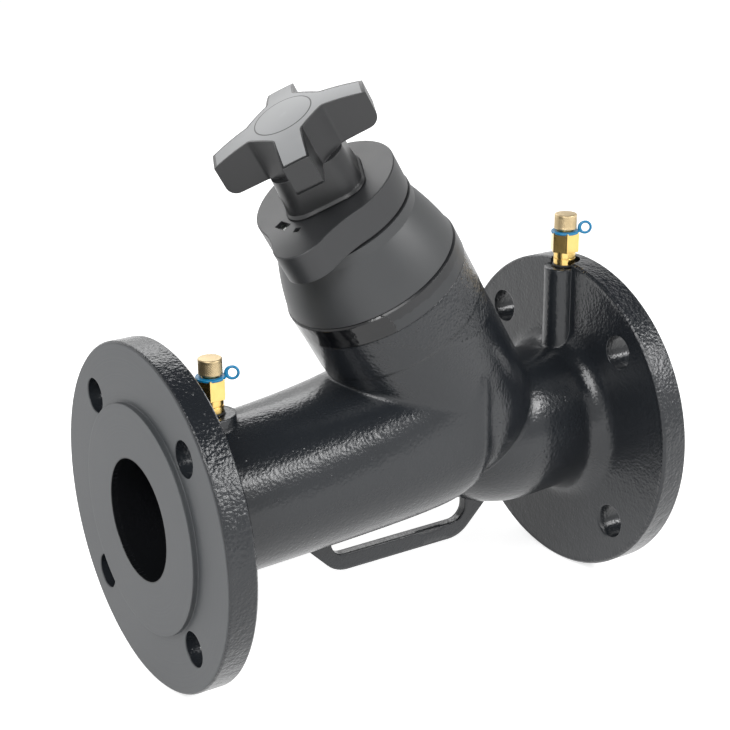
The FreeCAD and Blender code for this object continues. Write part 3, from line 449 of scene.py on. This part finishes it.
def plate_material():
    """The wheel's light grey plate with a thin printed ring."""
    made, tree, shader, place = new_material("light_grey_plate")
    local = on_stem_axis(tree, place)
    split = put(tree, "ShaderNodeSeparateXYZ", None, {"Vector": local})
    reach = reach_from_axis(tree, split, "X", "Y")
    off_ring = maths(tree, "ABSOLUTE", maths(tree, "SUBTRACT", reach, plate_ring_radius))
    ink = put(tree, "ShaderNodeMapRange",
              {"From Min": 0.28 * MM, "From Max": 0.42 * MM, "To Min": 1.0, "To Max": 0.0},
              {"Value": off_ring})
    texture = use_group(tree, plastic_grain, {"Grain Size": 0.3 * MM}, {"Vector": place})
    grey = blend_colour(tree, texture["Patches"], (0.25, 0.255, 0.26), (0.29, 0.295, 0.30))
    tree.links.new(blend_colour(tree, ink.outputs["Result"], grey, (0.02, 0.02, 0.02)), shader["Base Color"])
    tree.links.new(blend_value(tree, texture["Patches"], 0.36, 0.48), shader["Roughness"])
    tree.links.new(bump(tree, texture["Height"], 0.01 * MM, rounded_normal(tree, 0.3 * MM)), shader["Normal"])
    shader["Specular IOR Level"].default_value = 0.35
    return made


def turned_metal(name, first, second, roughness, centre, rotation=(0.0, 0.0, 0.0)):
    """Bright metal with fine lathe rings about the piece's own axis."""
    made, tree, shader, place = new_material(name)
    local = centred(tree, place, centre, rotation)
    marks = use_group(tree, lathe_marks, {"Pitch": 0.3 * MM}, {"Vector": local})
    stain = put(tree, "ShaderNodeTexNoise", {"Scale": 240.0, "Detail": 4.0}, {"Vector": place})
    rounded = rounded_normal(tree, 0.25 * MM)
    rub = use_group(tree, edge_rub, {"Width": 0.3}, {"Vector": place, "Rounded": rounded})
    colour = blend_colour(tree, stain.outputs["Fac"], first, second)
    tree.links.new(blend_colour(tree, maths(tree, "MULTIPLY", rub["Mask"], 0.4), colour,
                                tuple(min(1.0, c * 1.15) for c in second)), shader["Base Color"])
    tree.links.new(blend_value(tree, marks["Streaks"], roughness - 0.06, roughness + 0.1),
                   shader["Roughness"])
    tree.links.new(bump(tree, marks["Height"], 0.004 * MM, rounded), shader["Normal"])
    shader["Metallic"].default_value = 1.0
    return made


def clear_plastic():
    """The clear plastic of the windows, with a faint haze."""
    made, tree, shader, place = new_material("clear_window_plastic")
    haze = put(tree, "ShaderNodeTexNoise", {"Scale": 500.0, "Detail": 2.0}, {"Vector": place})
    tree.links.new(blend_value(tree, haze.outputs["Fac"], 0.03, 0.12), shader["Roughness"])
    shader["Base Color"].default_value = (0.85, 0.88, 0.88, 1.0)
    shader["Transmission Weight"].default_value = 1.0
    shader["IOR"].default_value = 1.49
    return made


def cap_middle(side):
    """The x and y of a cap's axis."""
    low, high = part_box(side + "_cap")
    return (low.x + high.x) / 2, (low.y + high.y) / 2


strap_blue = moulded("blue_strap_plastic", (0.004, 0.17, 0.36), (0.006, 0.22, 0.44), 0.36, grain=0.5 * MM,
                     depth=0.01 * MM, edge=0.3 * MM)
cap_brass = {}
for side in ("outlet", "inlet"):
    cap_brass[side] = turned_metal(side + "_cap_brass", (0.50, 0.385, 0.215), (0.62, 0.495, 0.30), 0.42,
                                   (cap_middle(side)[0], 0.0, 0.0))


def turned_rings(form, rings, columns, centre):
    """Joins rings of points into a skin. Each ring gives (radius, height) at an angle."""
    loops = []
    for ring in rings:
        loop = []
        for k in range(columns):
            angle = 2 * math.pi * k / columns
            radius, height = ring(angle)
            step = Vector((radius * math.cos(angle), radius * math.sin(angle), height))
            loop.append(form.verts.new(centre + step))
        loops.append(loop)
    for lower, upper in zip(loops, loops[1:]):
        for k in range(columns):
            m = (k + 1) % columns
            form.faces.new((lower[k], lower[m], upper[m], upper[k]))
    return loops


def new_piece(name, form, material, body, smooth_angle=math.radians(50)):
    """A shown piece from a finished form, with its material and the body it rides on."""
    bmesh.ops.recalc_face_normals(form, faces=form.faces)
    for face in form.faces:
        face.smooth = True
    for edge in form.edges:
        if len(edge.link_faces) == 2 and edge.calc_face_angle(0.0) > smooth_angle:
            edge.smooth = False
    data = bpy.data.meshes.new(name)
    form.to_mesh(data)
    form.free()
    data.materials.append(material)
    made = bpy.data.objects.new(name, data)
    bpy.context.scene.collection.objects.link(made)
    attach(made, body)
    return made


def knurled_cap(side):
    """A cap with a diamond knurl round its side, a softly rounded top and a bore from below."""
    low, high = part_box(side + "_cap")
    height = high.z - low.z
    band_low = knurl_start
    band_high = height - knurl_stop
    columns = knurl_count * knurl_steps
    rows = knurl_rows * knurl_steps

    def plain(radius, level):
        return lambda angle: (radius, level)

    def diamonds(share):
        level = band_low + (band_high - band_low) * share
        edge = min(1.0, knurl_fade * share, knurl_fade * (1.0 - share))

        def ring(angle):
            round_share = angle / (2 * math.pi) * knurl_count
            rise = share * knurl_rows
            first = abs((round_share + rise) % 1.0 - 0.5) * 2.0
            second = abs((round_share - rise) % 1.0 - 0.5) * 2.0
            return cap_radius - knurl_depth * edge * max(first, second), level
        return ring

    rings = [plain(cap_bore_radius, height - cap_roof), plain(cap_bore_radius, 0.0),
             plain(cap_radius - cap_foot_bevel, 0.0), plain(cap_radius, cap_foot_bevel)]
    rings += [diamonds(k / rows) for k in range(rows + 1)]
    rings.append(plain(cap_radius, height - cap_rounding))
    for k in range(1, cap_rounding_steps + 1):
        turn = math.radians(90.0 / cap_rounding_steps * k)
        rings.append(plain(cap_radius - cap_rounding * (1 - math.cos(turn)),
                           height - cap_rounding * (1 - math.sin(turn))))
    form = bmesh.new()
    loops = turned_rings(form, rings, columns, Vector((*cap_middle(side), low.z)))
    form.faces.new(loops[0])
    form.faces.new(loops[-1])
    piece = new_piece(side + "_knurled_cap", form, cap_brass[side], side + "_cap_piece")
    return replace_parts(piece, side + "_cap")


def moulded_strap(side):
    """A blue strap: a softly edged ring under the cap, with a thick loop standing beside it."""
    centre = Vector((*cap_middle(side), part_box(side + "_cap_strap")[0].z))
    outer = strap_ring_radius - strap_edge
    inner = strap_bore_radius + strap_edge
    upper = strap_thickness - strap_edge
    corners = []
    for quarter, (around_x, around_z) in enumerate(((outer, strap_edge), (outer, upper), (inner, upper),
                                                    (inner, strap_edge))):
        for k in range(4):
            turn = math.radians(90.0 * (quarter - 1) + 30.0 * k)
            corners.append((around_x + strap_edge * math.cos(turn), around_z + strap_edge * math.sin(turn)))
    form = bmesh.new()
    rings = [lambda angle, point=point: point for point in corners + corners[:1]]
    turned_rings(form, rings, strap_columns, centre)
    bmesh.ops.remove_doubles(form, verts=form.verts, dist=1e-7)

    steps, sides = strap_loop_steps, strap_loop_sides
    loop = bmesh.new()
    circles = []
    for k in range(steps):
        turn = 2 * math.pi * k / steps
        wire = strap_loop_wire * (1.0 + strap_loop_swell * max(0.0, -math.cos(turn)) ** 2)
        circle = []
        for m in range(sides):
            about = 2 * math.pi * m / sides
            away = strap_loop_radius + wire * math.cos(about)
            circle.append(loop.verts.new((strap_loop_away + away * math.cos(turn),
                                          strap_loop_width * math.sin(about),
                                          strap_loop_rise + away * math.sin(turn))))
        circles.append(circle)
    for k in range(steps):
        here, after = circles[k], circles[(k + 1) % steps]
        for m in range(sides):
            n = (m + 1) % sides
            loop.faces.new((here[m], here[n], after[n], after[m]))
    place = Matrix.Translation(centre) @ Matrix.Rotation(strap_heading, 4, "Z")
    bmesh.ops.transform(loop, matrix=place, verts=loop.verts)
    scratch = bpy.data.meshes.new("loop")
    loop.to_mesh(scratch)
    loop.free()
    form.from_mesh(scratch)
    bpy.data.meshes.remove(scratch)
    piece = new_piece(side + "_moulded_strap", form, strap_blue, side + "_strap")
    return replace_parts(piece, side + "_cap_strap")


def dress_nodes():
    """Gives every piece of the valve its finish."""
    stem_axis = (tuple(stem_cross), (0.0, -stem_lean, 0.0))
    paint = body_paint()
    rubber = moulded("black_rubber", (0.012, 0.012, 0.012), (0.02, 0.02, 0.02), 0.6, grain=0.5 * MM)
    steel = turned_metal("bright_steel", (0.42, 0.42, 0.43), (0.56, 0.56, 0.57), 0.28, *stem_axis)
    brass = turned_metal("spindle_brass", (0.62, 0.43, 0.16), (0.75, 0.55, 0.24), 0.3, *stem_axis)
    iron = turned_metal("machined_iron", (0.11, 0.11, 0.115), (0.17, 0.17, 0.175), 0.4, *stem_axis)
    dial = moulded("white_dial", (0.68, 0.68, 0.66), (0.76, 0.76, 0.74), 0.5, grain=0.3 * MM)
    wheel = moulded("black_wheel_plastic", (0.012, 0.0125, 0.0135), (0.018, 0.0185, 0.0195), 0.34,
                    grain=0.3 * MM, depth=0.012 * MM, edge=0.8 * MM)
    finishes = {
        "valve_body": paint, "bonnet": ring_paint(),
        "housing_cone": moulded("grey_housing_plastic", (0.036, 0.038, 0.04), (0.044, 0.046, 0.048), 0.46,
                                depth=0.016 * MM),
        "housing_cap": moulded("dark_cap_plastic", (0.02, 0.021, 0.0225), (0.027, 0.028, 0.03), 0.42,
                               depth=0.016 * MM, edge=0.6 * MM),
        "handwheel": wheel, "handwheel_plate": plate_material(), "window_lens": clear_plastic(),
        "tenths_dial": dial, "units_dial": dial, "seat_ring": steel, "plug_screw": steel,
        "housing_screws": steel, "handwheel_washer": steel, "handwheel_screw": steel, "spindle": brass,
        "gland": brass, "throttle_cone": brass, "plug": iron,
        "thrust_washer": moulded("bearing_plastic", (0.55, 0.54, 0.5), (0.62, 0.61, 0.57), 0.4)}
    for name in ("plug_seal", "bonnet_seal", "spindle_seals"):
        finishes[name] = rubber
    for side in ("outlet", "inlet"):
        axis = (cap_middle(side)[0], 0.0, 0.0)
        point_brass = turned_metal(side + "_point_brass", (0.66, 0.44, 0.13), (0.80, 0.58, 0.22), 0.2, axis)
        finishes[side + "_test_point"] = point_brass
        finishes[side + "_cap"] = cap_brass[side]
        finishes[side + "_cap_strap"] = strap_blue
        finishes[side + "_point_seal"] = rubber
        finishes[side + "_point_oring"] = rubber
    for name, piece in nodes.items():
        piece.data.materials.clear()
        piece.data.materials.append(finishes[name])


dress_nodes()
for side in ("outlet", "inlet"):
    knurled_cap(side)
    moulded_strap(side)


def add_camera():
    """The camera of the photograph, with its off-centre frame as a shift."""
    azimuth, elevation, roll = camera_azimuth, camera_elevation, camera_roll
    forward = Vector((-math.sin(azimuth) * math.cos(elevation), math.cos(azimuth) * math.cos(elevation),
                      -math.sin(elevation)))
    level_right = Vector((math.cos(azimuth), math.sin(azimuth), 0.0))
    level_up = level_right.cross(forward)
    right = level_right * math.cos(roll) + level_up * math.sin(roll)
    up = level_up * math.cos(roll) - level_right * math.sin(roll)
    turn = Matrix((right, up, -forward)).transposed().to_4x4()
    data = bpy.data.cameras.new("photo_camera")
    data.lens = focal_pixels * sensor_width / photo_width
    data.sensor_width = sensor_width
    data.shift_x = 0.5 - centre_pixel_x / photo_width
    data.shift_y = centre_pixel_y / photo_width - 0.5
    data.clip_start = 0.01
    camera = bpy.data.objects.new("photo_camera", data)
    camera.matrix_world = Matrix.Translation(camera_place) @ turn
    bpy.context.scene.collection.objects.link(camera)
    bpy.context.scene.camera = camera


def softbox(name, place, width, height, power):
    """A large soft lamp aimed at the valve."""
    data = bpy.data.lights.new(name, "AREA")
    data.shape = "RECTANGLE"
    data.size = width
    data.size_y = height
    data.energy = power
    lamp = bpy.data.objects.new(name, data)
    lamp.location = place
    lamp.rotation_euler = (lamp_target - Vector(place)).to_track_quat("-Z", "Y").to_euler()
    bpy.context.scene.collection.objects.link(lamp)


def stage_sheet(name, material_name, size, place):
    """A level square of the studio, with an empty material to fill."""
    data = bpy.data.meshes.new(name)
    form = bmesh.new()
    bmesh.ops.create_grid(form, x_segments=1, y_segments=1, size=size)
    bmesh.ops.translate(form, verts=form.verts, vec=place)
    form.to_mesh(data)
    form.free()
    sheet = bpy.data.objects.new(name, data)
    bpy.context.scene.collection.objects.link(sheet)
    made = bpy.data.materials.new(material_name)
    made.use_nodes = True
    made.node_tree.nodes.clear()
    data.materials.append(made)
    return sheet, made.node_tree, made.node_tree.nodes.new("ShaderNodeOutputMaterial")


def white_for_camera(tree, surface, white, out):
    """Shows plain white to the camera and in reflections, and the given shader to the light."""
    rays = tree.nodes.new("ShaderNodeLightPath").outputs
    seen = maths(tree, "MAXIMUM", rays["Is Camera Ray"],
                 maths(tree, "MAXIMUM", rays["Is Glossy Ray"], rays["Is Transmission Ray"]))
    mix = tree.nodes.new("ShaderNodeMixShader")
    tree.links.new(seen, mix.inputs[0])
    tree.links.new(surface, mix.inputs[1])
    tree.links.new(white, mix.inputs[2])
    tree.links.new(mix.outputs[0], out)


def add_studio():
    """A pale floor, a white surround, a dark ceiling that the gloss mirrors, and plain soft lamps."""
    white = (1.0, 1.0, 1.0, 1.0)
    scene = bpy.context.scene
    scene.view_settings.view_transform = "Standard"
    world = bpy.data.worlds.new("studio")
    scene.world = world
    world.use_nodes = True
    tree = world.node_tree
    tree.nodes.clear()
    out = tree.nodes.new("ShaderNodeOutputWorld")
    soft = put(tree, "ShaderNodeBackground", {"Color": white, "Strength": world_light})
    bright = put(tree, "ShaderNodeBackground", {"Color": white, "Strength": 1.0})
    white_for_camera(tree, soft.outputs[0], bright.outputs[0], out.inputs["Surface"])

    floor_place = (flange_middle_x, 0.0, cad_box[0][2] - floor_gap)
    floor, tree, out = stage_sheet("floor", "pale_floor", floor_size, floor_place)
    matt = put(tree, "ShaderNodeBsdfDiffuse", {"Color": (0.8, 0.8, 0.8, 1.0)})
    glow = put(tree, "ShaderNodeEmission", {"Color": white, "Strength": floor_glow})
    both = put(tree, "ShaderNodeAddShader")
    tree.links.new(matt.outputs[0], both.inputs[0])
    tree.links.new(glow.outputs[0], both.inputs[1])
    white_for_camera(tree, matt.outputs[0], both.outputs[0], out.inputs["Surface"])

    ceiling, tree, out = stage_sheet("dark_ceiling", "dark_cloth", ceiling_size, ceiling_place)
    cloth = put(tree, "ShaderNodeBsdfDiffuse", {"Color": (0.03, 0.03, 0.03, 1.0)})
    tree.links.new(cloth.outputs[0], out.inputs["Surface"])
    ceiling.visible_diffuse = False
    ceiling.visible_shadow = False

    for name, (place, width, height, power) in lamps.items():
        softbox(name, place, width, height, power)


add_camera()
add_studio()
